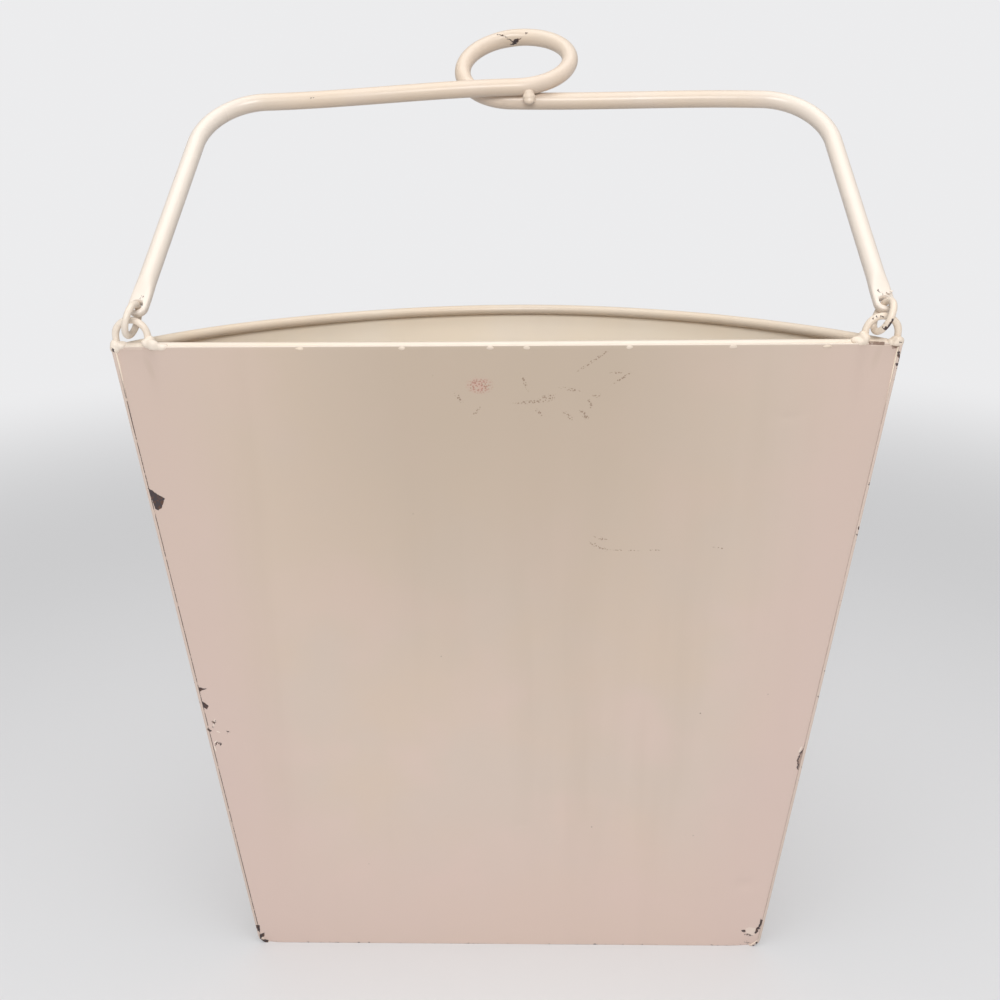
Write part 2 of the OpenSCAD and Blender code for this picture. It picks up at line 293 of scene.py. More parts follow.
# Flat panel
# One flat sheet of steel about a millimetre thick, cut to a tapering outline and let in between
# the cut edges of the curved wall. Its lower corners are knocked in, and it has a few shallow dents.
SHEET = 1 * MM
SEAM_GAP = 0.1 * MM
INNER = SHEET + SEAM_GAP
FOOT_HALF = 134.5 * MM
wall_low, wall_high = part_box("curved_wall")
RIM_HALF = wall_high.x
HEIGHT = wall_high.z
FACE_Y = wall_low.y
RIM_DEPTH = wall_high.y - wall_low.y
RIM_RADIUS = (RIM_HALF**2 + RIM_DEPTH**2) / (2 * RIM_DEPTH)
SETBACK = RIM_RADIUS - RIM_DEPTH
FOOT_RADIUS = math.hypot(FOOT_HALF, SETBACK)
WALL_SLOPE = math.atan((RIM_RADIUS - FOOT_RADIUS) / HEIGHT)
LIP = 0.22 * MM


def cone_radius(z, inset=0):
    """Radius of the wall's cone at height z, an inset inside its outer face."""
    return FOOT_RADIUS + (RIM_RADIUS - FOOT_RADIUS) * z / HEIGHT - inset / math.cos(WALL_SLOPE)


def half_width(z, depth=0, inset=0):
    """Half of the width across the pail at height z, a depth behind the flat face."""
    return np.sqrt(cone_radius(z, inset) ** 2 - (SETBACK + depth) ** 2)


def stations(length, step, lip=LIP):
    """Places along a length: a quarter round of the lip at each end, and even steps between."""
    turn = lip * (1 - np.cos(np.radians([0, 30, 60])))
    even = np.linspace(lip, length - lip, max(2, round(length / step)))
    return np.concatenate([turn, even, length - turn[::-1]])


def lip_drop(distance, lip=LIP):
    """How far a sheet's face falls away within a lip of its edge: a quarter circle."""
    inside = np.clip(lip - distance, 0, lip)
    return lip - np.sqrt(lip**2 - inside**2)


def grid_faces(rows, columns, around=False):
    """Quads between the neighbours of a grid of points, closed across the columns if it goes around."""
    i = np.arange(rows - 1)[:, None]
    j = np.arange(columns if around else columns - 1)[None, :]
    k = (j + 1) % columns
    quads = [i * columns + j, i * columns + k, (i + 1) * columns + k, (i + 1) * columns + j]
    return np.stack(np.broadcast_arrays(*quads), -1).reshape(-1, 4)


def volume(points, faces):
    """Six times the signed volume inside a closed mesh, from the first triangle of each face."""
    a = points[faces[:, 0]]
    total = 0
    for corner in range(1, faces.shape[1] - 1):
        total += np.einsum("ij,ij->", a, np.cross(points[faces[:, corner]], points[faces[:, corner + 1]]))
    return total


def make_piece(name, shells, body, material, nodes=()):
    """One piece from closed shells of points and quads, each turned to face outwards."""
    points, faces, start = [], [], 0
    for shell_points, shell_faces in shells:
        if volume(shell_points, shell_faces) < 0:
            shell_faces = shell_faces[:, ::-1]
        points.append(shell_points)
        faces.append(shell_faces + start)
        start += len(shell_points)
    points, faces = np.concatenate(points), np.concatenate(faces)
    mesh = bpy.data.meshes.new(name)
    mesh.vertices.add(len(points))
    mesh.vertices.foreach_set("co", points.astype(np.float32).ravel())
    mesh.loops.add(faces.size)
    mesh.loops.foreach_set("vertex_index", faces.astype(np.int32).ravel())
    mesh.polygons.add(len(faces))
    mesh.polygons.foreach_set("loop_start", np.arange(0, faces.size, 4, dtype=np.int32))
    mesh.polygons.foreach_set("use_smooth", np.ones(len(faces), bool))
    mesh.update(calc_edges=True)
    mesh.validate()
    mesh.materials.append(material)
    piece = bpy.data.objects.new(name, mesh)
    bpy.context.collection.objects.link(piece)
    if nodes:
        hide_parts(*nodes)
    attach(piece, body)
    return piece


def slab(outer, inner):
    """Closed shell between two grids of like shape: both faces, and a strip along each of four edges."""
    rows, columns = outer.shape[:2]
    count = rows * columns
    face = grid_faces(rows, columns)
    index = np.arange(count).reshape(rows, columns)
    rim = np.concatenate([index[0], index[1:, -1], index[-1, -2::-1], index[-2:0:-1, 0]])
    after = np.roll(rim, -1)
    strip = np.stack([rim, rim + count, after + count, after], -1)
    points = np.concatenate([outer.reshape(-1, 3), inner.reshape(-1, 3)])
    return points, np.concatenate([face, face[:, ::-1] + count, strip])


def dent(x, z, at, size, depth):
    """A round-bottomed dent: depth times a bell of the scaled distance from its middle."""
    far = ((x - at[0] * MM) / (size[0] * MM)) ** 2 + ((z - at[1] * MM) / (size[1] * MM)) ** 2
    return depth * MM * np.exp(-far)


def panel_relief(x, z):
    """How far the panel's face stands back from true: slow waves, dents, and the knocked-in corners."""
    inside = np.clip((half_width(z) - abs(x)) / (22 * MM), 0, 1) * np.clip((HEIGHT - z) / (26 * MM), 0, 1)
    waves = 0.5 + 0.5 * np.sin(19 * x + 5 * z + 0.6) * np.sin(11 * z - 7 * x + 1.1)
    relief = 0.5 * MM * waves * inside * np.clip(z / (20 * MM), 0, 1)
    relief += dent(x, z, (8.1, 77.4), (2.2, 1.7), 0.32)
    relief += dent(x, z, (124, 40.4), (4.2, 3.2), 0.55)
    relief += dent(x, z, (118.5, 294.5), (2.4, 1.2), 0.22) + dent(x, z, (124.5, 292.2), (5.5, 1.3), 0.35)
    relief += dent(x, z, (130, 294.6), (2.6, 1.4), 0.22)
    relief += dent(x, z, (131, 1), (7, 4), 0.9) + dent(x, z, (-131, 0), (4.5, 6), 0.8)
    for side in (-1, 1):
        across = np.clip((side * x - 150 * MM) / (6 * MM), 0, 1)
        relief += 1.1 * MM * across**2 * (3 - 2 * across) * np.clip((z - 285 * MM) / (32 * MM), 0, 1) ** 1.5
    return relief


def knock(z):
    """How far the side edge of the sheet is rounded in at its foot: a quarter circle of 4 mm."""
    radius = 4 * MM
    low = np.clip(radius - z, 0, radius)
    return radius - np.sqrt(radius**2 - low**2)


def panel_edge(z):
    """Half of the panel's width at height z, where the seam beside it opens and closes a little."""
    crack = 0.16 * MM + 0.10 * MM * np.sin(z * 61 + 0.4) * np.sin(z * 23)
    return half_width(z, 0, INNER) - crack - knock(z) * 0.8


# Chips: x, y, z and the half sizes in millimetres, and the slope in degrees of those that slope.
PANEL_CHIPS = [
    (-147.5, -37, 133.4, 0.5, 4, 1.4, 18),
    (-138.3, -37, 132.6, 0.6, 4, 0.6),
    (-144.6, -37, 137.6, 0.3, 4, 1.0, -20),
    (-145.4, -37, 135.4, 0.25, 4, 1.0, -25),
    (-144.2, -37, 124.9, 1.1, 4, 0.3, 20),
    (-143.4, -37, 124.4, 0.3, 4, 0.8, -30),
    (125.4, -37, 10.0, 1.2, 4, 1.0),
    (128.6, -37, 1.6, 2.0, 4, 0.2, -38),
    (133.0, -37, 1.6, 1.0, 4, 0.6, 50),
    (132.2, -37, 0.4, 0.9, 4, 0.5),
    (162.7, -37, 261.2, 0.4, 4, 0.5),
    (161.1, -37, 240.9, 0.4, 4, 1.1, 25),
    (160.1, -37, 235.8, 0.35, 4, 1.5, 25),
    (168.9, -37, 319.6, 0.55, 4, 2.3, 8),
    (168.9, -37, 315.9, 0.6, 4, 0.9, 12),
]
PANEL_PATCHES = [
    [(-162.0, 260.3), (-154.8, 255.2), (-156.7, 250.8), (-158.3, 249.4), (-159.8, 250.1)],
    [(-150.2, 157.4), (-146.4, 156.6), (-149.8, 154.9)],
    [(-149.9, 150.7), (-148.1, 148.6), (-146.6, 147.1), (-147.6, 145.0), (-148.9, 146.2)],
    [(-135.6, 11.6), (-133.4, 11.7), (-134.1, 6.9), (-135.1, 8.0)],
    [(-134.4, 5.2), (-131.4, 6.3), (-132.0, 3.3), (-134.0, 2.4)],
    [(-134.0, 2.2), (-129.8, 0.6), (-130.1, -1.0), (-134.0, -1.0)],
    [(133.9, 18.1), (135.0, 17.0), (134.6, 14.4), (133.5, 15.0)],
    [(133.7, 15.3), (134.7, 14.3), (134.1, 12.5), (133.3, 13.0)],
    [(133.8, 13.2), (134.2, 11.6), (132.7, 10.6), (132.1, 11.6)],
    [(132.3, 11.7), (133.4, 10.1), (132.2, 8.3), (131.4, 8.6)],
]
# Lines and clusters of fine cracks that show brown: x and z of the two ends, and half the width.
FLECK_RUNS = [
    (32.5, 313.8, 45.1, 322.7, 0.55),
    (47.7, 308.1, 54.8, 312.7, 0.5),
    (46.3, 312.7, 50.6, 312.7, 0.4),
    (7.7, 311.5, 10.2, 305.7, 0.6),
    (25.1, 306.1, 32.8, 304.7, 0.6),
    (16.8, 301.0, 20.9, 302.2, 1.5),
    (5.7, 299.5, 17.0, 300.2, 0.7),
    (14.0, 296.4, 16.8, 294.0, 0.7),
    (26.7, 294.9, 29.5, 292.2, 0.9),
    (34.0, 295.3, 36.5, 292.4, 1.0),
    (37.0, 300.5, 38.2, 297.3, 0.7),
    (39.6, 302.6, 41.0, 302.9, 0.9),
    (-21.0, 303.6, -18.4, 300.2, 0.9),
    (-10.9, 297.3, -13.7, 293.7, 0.6),
    (39.9, 233.1, 46.0, 229.9, 0.9),
    (41.7, 236.3, 46.7, 234.6, 0.7),
    (46.8, 230.1, 60.9, 229.4, 0.35),
    (66.6, 229.7, 70.7, 229.6, 0.35),
    (95.8, 231.1, 100.9, 230.3, 0.35),
]
STAIN = [(-10.6, -37, 307.3, 4.8, 4, 3.0)]
# Where the coat has curled up and catches the light, painted lighter as a highlight, and the dark line
# down the blister's left side.
LIFTED_GLINT_RUNS = [
    (-144.2, 139.4, -145.4, 134.9, 0.25),
    (-144.0, 132.4, -142.6, 131.8, 0.25),
    (-146.0, 125.6, -144.7, 126.9, 0.25),
    (-145.6, 121.0, -146.2, 124.0, 0.25),
    (145.6, 124.6, 144.7, 121.6, 0.3),
    (129.0, 7.0, 131.4, 7.6, 0.25),
]
BLISTER_RUNS = [
    (147.3, 126.5, 146.2, 123.4, 0.3),
    (146.2, 123.4, 144.5, 118.6, 0.4),
    (144.5, 118.6, 144.4, 115.0, 0.45),
    (144.4, 115.0, 145.8, 110.8, 0.4),
    (126.6, 8.0, 130.6, 7.1, 0.25),
]
BLISTER = [[(147.0, 124.6), (144.6, 118.6), (144.5, 115.0), (145.9, 111.2), (146.4, 119.0)]]
FLAKE = [[(126.6, 11.6), (128.4, 12.6), (131.9, 11.9), (131.6, 8.7), (130.1, 7.7), (127.2, 8.2)]]
# Beside the right staple, painted shade: a dark slot along the rim between its legs, and a dark line
# below the outer weld.
CORNER_SHADE = [
    [(155.7, 325.6), (162.6, 325.3), (162.4, 323.9), (155.9, 324.2)],
    [(165.4, 324.0), (168.8, 323.8), (168.2, 322.6), (166.0, 322.4)],
]
# Painted shade down the soft fold below each staple weld.
WELD_FOLD_SHADE = [(-154.6, -37, 316.0, 2.4, 4, 9.0, 18), (159.8, -37, 319.0, 2.6, 4, 9.5, -13)]


def run_spot(x0, z0, x1, z1, half):
    """Ellipsoid on the front that reaches from one end of a run to the other."""
    length = math.hypot(x1 - x0, z1 - z0)
    slope = math.degrees(math.atan2(z1 - z0, x1 - x0))
    return ((x0 + x1) / 2, FACE_Y / MM, (z0 + z1) / 2, length / 2 + half, 4, half, slope)


def corner_painted_shade(paint, where, x, y, z, colour):
    """A coat with painted shade in two places beside the right staple, a slot along the rim between its
    legs and a line below the outer weld, and whole elsewhere.
    """
    grain = paint.step(paint.noise(where, 900, detail=2), 0.3, 0.55) * 0.35 + 0.6
    return paint.mix(paint.patches(where, CORNER_SHADE) * (y < FRONT) * grain, colour, WORN_THIN_AND_SHADE)


# The coat is a little pinker along the panel's slanting sides.
MARGIN_TONE = (0.622, 0.480, 0.428)


def from_side(x, z):
    """How far in from the panel's slanting side a point lies."""
    return (z * ((RIM_HALF - FOOT_HALF) / HEIGHT) + FOOT_HALF) - abs(x)


def panel_coat(paint, where, x, y, z, colour):
    """The panel's coat: painted shade darkening it towards the middle of its top, in a band under the rim
    and down the fold below each staple weld, pinker along its sides and foot, flecked along the runs of
    cracks, and with painted highlights on its curled coat and along its top edge."""
    colour = paint.mix((1 - paint.step(from_side(x, z), 8 * MM, 60 * MM)) * 0.8, colour, MARGIN_TONE)
    colour = paint.mix((1 - paint.step(z, 20 * MM, 110 * MM)) * 0.7, colour, PANEL_TONES[2])
    # Painted shade: the panel is darker towards the middle of its top.
    middle = 1 - paint.step(abs(x), 30 * MM, 150 * MM)
    shade = paint.step(z, 90 * MM, 330 * MM) * (middle * 0.6 + 0.3)
    # Painted shade in a band just under the rim.
    under_rim_shade = paint.step(z, 317 * MM, 324 * MM) * 0.35
    # Painted shade down the fold below each staple weld.
    dents = paint.spots(where, WELD_FOLD_SHADE, edge=0.8) * 0.45
    colour = paint.mix(shade | under_rim_shade | dents, colour, PANEL_TONES[3])
    stained = paint.spots(where, STAIN, edge=0.5)
    patchy = paint.step(paint.noise(where, 420, detail=2), 0.38, 0.6)
    colour = paint.mix(stained * patchy * 0.45, colour, RED_STAIN)
    runs = paint.spots(where, [run_spot(*run) for run in FLECK_RUNS], edge=0.4)
    flecks = paint.dots(where, 1150, 0.55, 0.85)
    colour = paint.mix(flecks * stained * 0.6, colour, RED_FLECK)
    colour = paint.mix(flecks * runs * 0.65, colour, BROWN_FLECK)
    colour = paint.mix(paint.patches(where, BLISTER) * 0.65, colour, WORN_THIN_AND_SHADE)
    # Painted highlight: the curled coat and, more faintly, the flake are lighter where the lifted paint
    # catches the light.
    curled_glint = paint.spots(where, [run_spot(*run) for run in LIFTED_GLINT_RUNS])
    colour = paint.mix((curled_glint | paint.patches(where, FLAKE) * 0.5) * 0.6, colour, LIFTED_PAINT_GLINT)
    # Painted highlight: the top of the panel's face, just under its edge, takes the rods' lighter tone.
    colour = paint.mix(paint.step(z, HEIGHT - 0.6 * MM, HEIGHT - 0.2 * MM), colour, ROD_TONES[0])
    return corner_painted_shade(paint, where, x, y, z, colour)


def seam_wear(paint, x, y, z, rough):
    """Worn enamel: specks along the sheets' side edges and feet, and a broken line down each seam."""
    side = from_side(x, z)
    nicks = paint.step(rough, 0.66, 0.70) * (side < 0.6 * MM)
    crack = paint.step(rough, 0.38, 0.48) * (abs(side - 1.25 * MM) < 0.2 * MM) * (y < FACE_Y + 2 * MM)
    left_most = 0.85 - paint.step(x, -10 * MM, 10 * MM) * 0.7
    foot = paint.step(rough, 0.60, 0.65) * (z < 0.7 * MM)
    return nicks | crack * left_most * (1 - paint.step(z, 290 * MM, 322 * MM)) | foot


panel_chips = PANEL_CHIPS + [run_spot(*run) for run in BLISTER_RUNS]
panel_paint = enamel(
    "panel_paint", PANEL_TONES, panel_chips, PANEL_PATCHES, wear=seam_wear, extra=panel_coat, streaks=0.22
)
PANEL_STEP = 1.6 * MM
across = stations(2 * RIM_HALF, PANEL_STEP) / RIM_HALF - 1
up = stations(HEIGHT, PANEL_STEP)
u, z = np.meshgrid(across, up)
x = u * panel_edge(z)
back = panel_relief(x, z)
drop = lip_drop((1 - abs(u)) * panel_edge(z)) + lip_drop(np.minimum(z, HEIGHT - z))
front_face = np.stack([x, FACE_Y + back + drop, z], -1)
rear_face = np.stack([x, FACE_Y + SHEET + back - drop, z], -1)
make_piece(
    "flat_panel_sheet",
    [slab(front_face, rear_face)],
    "pail",
    panel_paint,
    ["flat_panel"],
)

# Curved wall
# One sheet rolled to part of a cone, with its two cut edges trimmed flush with the face of the panel.
# It is soft in places, as hand-rolled sheet is, and the edges show as a narrow strip each side.
WALL_STEP = 2.4 * MM


def wall_grid(inset, sign):
    """Points of one face of the wall: its cone's arc between the cut edges, up its whole height."""
    radius = cone_radius(z_wall, inset)
    end = np.arccos(SETBACK / radius)
    soft = 0.35 * MM * np.sin(9 * s_wall + 2) * np.sin(13 * z_wall + 1)
    soft *= np.clip((1 - abs(s_wall)) * 6, 0, 1)
    soft *= np.clip((HEIGHT - z_wall) / (40 * MM), 0, 1) * np.clip(z_wall / (30 * MM), 0, 1)
    edge_far = np.minimum((1 - abs(s_wall)) * end * radius, np.minimum(z_wall, HEIGHT - z_wall))
    radius = radius - abs(soft) - sign * lip_drop(edge_far)
    turn = s_wall * end
    tuck = knock(z_wall) * np.clip((abs(s_wall) - 0.93) / 0.07, 0, 1)
    px = radius * np.sin(turn) - np.sign(turn) * tuck
    py = FACE_Y - SETBACK + radius * np.cos(turn)
    return np.stack([px, py, z_wall], -1)


def wall_coat(paint, where, x, y, z, colour):
    """The wall's coat: as the panel's outside and on the cut edges, yellower inside, and lighter there as
    painted light.
    """
    axis_far = paint.node("CombineXYZ", {}, x, y - (FACE_Y - SETBACK), 0)
    radius = paint.node("VectorMath", {"operation": "LENGTH"}, axis_far)
    outer = radius - z * math.tan(WALL_SLOPE) - (FOOT_RADIUS - SHEET / 2)
    outside = paint.step(outer, -0.1 * MM, 0.1 * MM) | (1 - paint.step(y - FACE_Y, 0.3 * MM, 0.6 * MM))
    edge_tone = paint.mix(paint.noise(where, 14) * 0.6, PANEL_TONES[0], PANEL_TONES[2])
    return paint.mix(outside, colour, edge_tone)


wall_paint = enamel(
    "wall_paint",
    INSIDE_LIT_TONES,
    PANEL_CHIPS,
    PANEL_PATCHES,
    wear=seam_wear,
    extra=wall_coat,
    streaks=0.15,
    gloss=0.38,
)
arc_length = 2 * RIM_RADIUS * math.acos(SETBACK / RIM_RADIUS)
s_wall = stations(arc_length, WALL_STEP) / arc_length * 2 - 1
s_wall, z_wall = np.meshgrid(s_wall, stations(HEIGHT, WALL_STEP))
make_piece(
    "curved_wall_sheet",
    [slab(wall_grid(0, 1), wall_grid(SHEET, -1))],
    "pail",
    wall_paint,
    ["curved_wall"],
)

# Base pan
# A D-shaped sheet with its border turned up inside both walls, where it is soldered.
# The fold is rounded, so the pail stands on its walls and on the flat of the pan.
FLANGE = 9 * MM
FOLD = 1.4 * MM


def d_outline(inset, z, count=240):
    """Closed D a distance inside the walls: the straight front, then the arc, in even steps."""
    radius = cone_radius(z, inset)
    half = math.sqrt(radius**2 - (SETBACK + inset) ** 2)
    end = math.acos((SETBACK + inset) / radius)
    front = np.linspace(-half, half, count // 2, endpoint=False)
    turn = np.linspace(end, -end, count // 2, endpoint=False)
    straight = np.stack([front, np.full_like(front, FACE_Y + inset)], -1)
    curve = np.stack([radius * np.sin(turn), FACE_Y - SETBACK + radius * np.cos(turn)], -1)
    return np.concatenate([straight, curve])


def pan_profile():
    """Steps of (inset, height, share): under the pan, round the fold, up, over and down the flange."""
    bend = np.radians([90, 60, 30, 0])
    under = [(INNER + FOLD, 0, share) for share in (0.02, 0.35, 0.7, 0.97)]
    fold = [(INNER + FOLD * (1 - math.cos(a)), FOLD * (1 - math.sin(a)), 1) for a in bend]
    top = [(INNER, FLANGE - 0.3 * MM, 1), (INNER + 0.3 * MM, FLANGE, 1)]
    top += [(INNER + SHEET - 0.3 * MM, FLANGE, 1), (INNER + SHEET, FLANGE - 0.3 * MM, 1)]
    inner_fold = 0.5 * MM
    floor = [
        (INNER + SHEET + inner_fold * (1 - math.cos(a)), SHEET + inner_fold * (1 - math.sin(a)), 1)
        for a in bend[::-1]
    ]
    floor += [(INNER + SHEET + inner_fold, SHEET, share) for share in (0.97, 0.7, 0.35, 0.02)]
    return under + fold + top + floor


def closed_rings(rings):
    """Closed shell from a stack of rings of points: quads between them, and a fan to a pole at each end."""
    count = rings.shape[1]
    points = np.concatenate([rings.reshape(-1, 3), rings[0].mean(0)[None], rings[-1].mean(0)[None]])
    first, last = len(points) - 2, len(points) - 1
    j = np.arange(0, count, 2)
    a, b, c = j, (j + 1) % count, (j + 2) % count
    low = np.stack([np.full_like(j, first), c, b, a], -1)
    top = (len(rings) - 1) * count
    high = np.stack([np.full_like(j, last), a + top, b + top, c + top], -1)
    return points, np.concatenate([grid_faces(len(rings), count, around=True), low, high])


middle = np.array([0, 0.1 * FACE_Y])
pan_rings = []
for inset, level, share in pan_profile():
    ring = middle + (d_outline(inset, level) - middle) * share
    pan_rings.append(np.column_stack([ring, np.full(len(ring), level)]))
base_paint = enamel("base_paint", ROD_TONES, streaks=0.3, gloss=0.42)
make_piece(
    "base_pan_sheet",
    [closed_rings(np.array(pan_rings))],
    "pail",
    base_paint,
    ["base_pan"],
)

# Seam welds
# A bead of weld runs down each inside corner and holds the two sheets together.
# It lies in the corner as a ripple of overlapping drops.
SEAM_WELD = 2.6 * MM
RIPPLE = 2.3 * MM
WELD_CHIPS = [(-168.7, -37, 323.0, 0.6, 2, 1.0), (169.0, -37.6, 325.4, 0.5, 1.2, 0.5)]
weld_paint = enamel(
    "weld_paint", ROD_TONES, WELD_CHIPS, extra=corner_painted_shade, streaks=0.2, gloss=0.4, orange_peel=0.12
)


def seam_bead(side):
    """Rings of a bead along a corner: the corner itself, then an arc from one sheet to the other,
    whose radius ripples along the run."""
    low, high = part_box("left_seam_weld" if side < 0 else "right_seam_weld")
    level = np.linspace(low.z, high.z, 700)
    inset = INNER + SEAM_GAP
    corner_x = half_width(level, inset, inset)
    toward = np.arctan2(SETBACK + inset, corner_x)
    size = SEAM_WELD * (0.9 + 0.1 * abs(np.sin(np.pi * level / RIPPLE + 0.8 * np.sin(31 * level))))
    share = np.linspace(0, 1, 9)
    sweep = np.pi + share * (np.pi / 2 - toward[:, None])
    reach = size[:, None] * (1 - 0.14 * np.sin(np.pi * share))
    px = corner_x[:, None] + reach * np.cos(sweep)
    py = FACE_Y + inset + reach * abs(np.sin(sweep))
    px = np.concatenate([corner_x[:, None], px], 1)
    py = np.concatenate([np.full((len(level), 1), FACE_Y + inset), py], 1)
    return np.stack([side * px, py, np.broadcast_to(level[:, None], px.shape)], -1)


for side, name in ((-1, "left_seam_weld"), (1, "right_seam_weld")):
    make_piece(name + "_bead", [closed_rings(seam_bead(side))], "pail", weld_paint, [name])

# Rim rods
# A 4.8 mm round rod stiffens the mouth: one straight length behind the panel's top edge,
# and one bent round the inside of the curved rim, its ends coped and welded on the straight one.
rod_low, rod_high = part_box("straight_rim_rod")
ROD_R = (rod_high.y - rod_low.y) / 2
ROD_Y = (rod_high.y + rod_low.y) / 2
ROD_Z = (rod_high.z + rod_low.z) / 2
ROD_SIDES = 32


def unit(vectors):
    return vectors / np.linalg.norm(vectors, axis=-1, keepdims=True)


def swept(path, reference, half_a, half_b=None, roundness=None, sides=ROD_SIDES, loop=False):
    """Rings of points round a path. Across it the section is half_a wide, and towards the reference
    half_b thick, on the outline (cos^k, sin^k) where k is the roundness: 1 is an ellipse."""
    if loop:
        along = unit(np.roll(path, -1, 0) - np.roll(path, 1, 0))
    else:
        along = unit(np.gradient(path, axis=0))
    across = unit(np.cross(np.broadcast_to(reference, along.shape), along))
    out = np.cross(along, across)
    sizes = (half_a, half_a if half_b is None else half_b, 1 if roundness is None else roundness)
    turn = np.linspace(0, 2 * np.pi, sides, endpoint=False)[None, :]
    half_a, half_b, k = (np.broadcast_to(np.reshape(v, (-1, 1)), (len(path), 1)) for v in sizes)
    a = half_a * np.sign(np.cos(turn)) * abs(np.cos(turn)) ** k
    b = half_b * np.sign(np.sin(turn)) * abs(np.sin(turn)) ** k
    return path[:, None] + across[:, None] * a[..., None] + out[:, None] * b[..., None]


def loop_shell(rings):
    """Closed shell of rings that come back to their start."""
    count, sides = rings.shape[:2]
    faces = grid_faces(count + 1, sides, around=True) % (count * sides)
    return rings.reshape(-1, 3), faces


ROD_CHIPS = [(152.6, -35, 325.6, 0.4, 2, 0.4)]
rod_paint = enamel(
    "rod_paint", ROD_TONES, ROD_CHIPS, extra=corner_painted_shade, streaks=0.12, gloss=0.28, orange_peel=0.03
)
x_rod = np.linspace(rod_low.x + 0.3 * MM, rod_high.x - 0.3 * MM, 240)
SAG = 0.45 * MM
bow = 0.12 * MM * np.sin(21 * x_rod + 0.5) - SAG * np.cos(x_rod / RIM_HALF * np.pi / 2) ** 2
straight = np.stack([x_rod, np.full_like(x_rod, ROD_Y), ROD_Z + bow], -1)
straight_rings = swept(straight, (0, 0, 1), ROD_R)
make_piece(
    "straight_rim_rod_bar",
    [closed_rings(straight_rings)],
    "pail",
    rod_paint,
    ["straight_rim_rod"],
)

arc_radius = cone_radius(ROD_Z, INNER + ROD_R)
arc_end = math.acos((SETBACK + ROD_Y - FACE_Y) / arc_radius) - 0.6 * MM / arc_radius
turn = np.linspace(-arc_end, arc_end, 320)
bow = arc_radius + 0.1 * MM * np.sin(14 * turn)
lift = ROD_Z + 0.25 * MM * np.sin(5 * turn + 1) * np.cos(turn)
curved = np.stack([bow * np.sin(turn), FACE_Y - SETBACK + bow * np.cos(turn), lift], -1)
RIM_CHIPS = [(-97, 28, 326.5, 4.5, 6, 1.2), (-94, 31, 325.5, 2.5, 5, 1.6)]
# The curved rod's tones are a darker copy of the rods': painted shade, for the shadow on its underside
# against the wall.
RIM_SHADED_TONES = [(0.730, 0.630, 0.515), (0.730, 0.605, 0.470), (0.715, 0.610, 0.505), (0.55, 0.45, 0.34)]
rim_paint = enamel("rim_paint", RIM_SHADED_TONES, RIM_CHIPS, streaks=0.12, gloss=0.28, orange_peel=0.03)
make_piece(
    "curved_rim_rod_bar",
    [closed_rings(swept(curved, (0, 0, 1), ROD_R))],
    "pail",
    rim_paint,
    ["curved_rim_rod"],
)

# Tack welds
# Small drops of weld tie the edge of the sheet to the rod, seven along the panel and seven round
# the curve. No two are alike: each is a flattened drop, run out along the edge.


def drop_shell(centre, half, seed, rough=0.12, rows=18, columns=28, turn=0.0):
    """Closed lump: a ball with a few slow random waves on its radius, scaled and turned about Z."""
    chance = np.random.default_rng(SEED + seed)
    fall = np.linspace(0.06, np.pi - 0.06, rows)[:, None]
    round_ = np.linspace(0, 2 * np.pi, columns, endpoint=False)[None, :]
    ball = np.stack(
        np.broadcast_arrays(np.sin(fall) * np.cos(round_), np.sin(fall) * np.sin(round_), np.cos(fall)), -1
    )
    swell = np.ones(ball.shape[:2])
    for _ in range(5):
        wave = chance.normal(size=3) * 2.2
        swell += rough * 0.5 * np.sin(ball @ wave + chance.uniform(0, 6))
    points = ball * swell[..., None] * np.asarray(half) * MM
    c, s = math.cos(turn), math.sin(turn)
    points = points @ np.array([[c, s, 0], [-s, c, 0], [0, 0, 1]])
    return closed_rings(points + np.asarray(centre) * MM)


STRAIGHT_TACKS = [-88, -44, -6, 10, 54, 98, 138]
CURVE_PITCH = 45
tacks = []
chance = np.random.default_rng(SEED)
face_mm = FACE_Y / MM
rim_mm = HEIGHT / MM
for k, place in enumerate(STRAIGHT_TACKS):
    size = chance.uniform(0.85, 1.15, 3)
    at = (place, face_mm + 0.4, rim_mm - 1.2)
    tacks.append(drop_shell(at, (1.9 * size[0], 0.7 * size[1], 0.9 * size[2]), k))
    swing = (k - 3) * CURVE_PITCH * MM / RIM_RADIUS
    reach = (RIM_RADIUS / MM) - 0.5
    at = (reach * math.sin(swing), face_mm - SETBACK / MM + reach * math.cos(swing), rim_mm - 1.2)
    tacks.append(drop_shell(at, (2.1 * size[1], 1.1 * size[2], 1.2 * size[0]), k + 20, turn=-swing))
TACK_TONES = [(0.700, 0.600, 0.500), (0.710, 0.590, 0.470), (0.710, 0.590, 0.500), (0.58, 0.47, 0.36)]
tack_paint = enamel("tack_paint", TACK_TONES, streaks=0.2, gloss=0.4)
make_piece("rim_tack_beads", tacks, "pail", tack_paint, ["rim_tack_welds"])

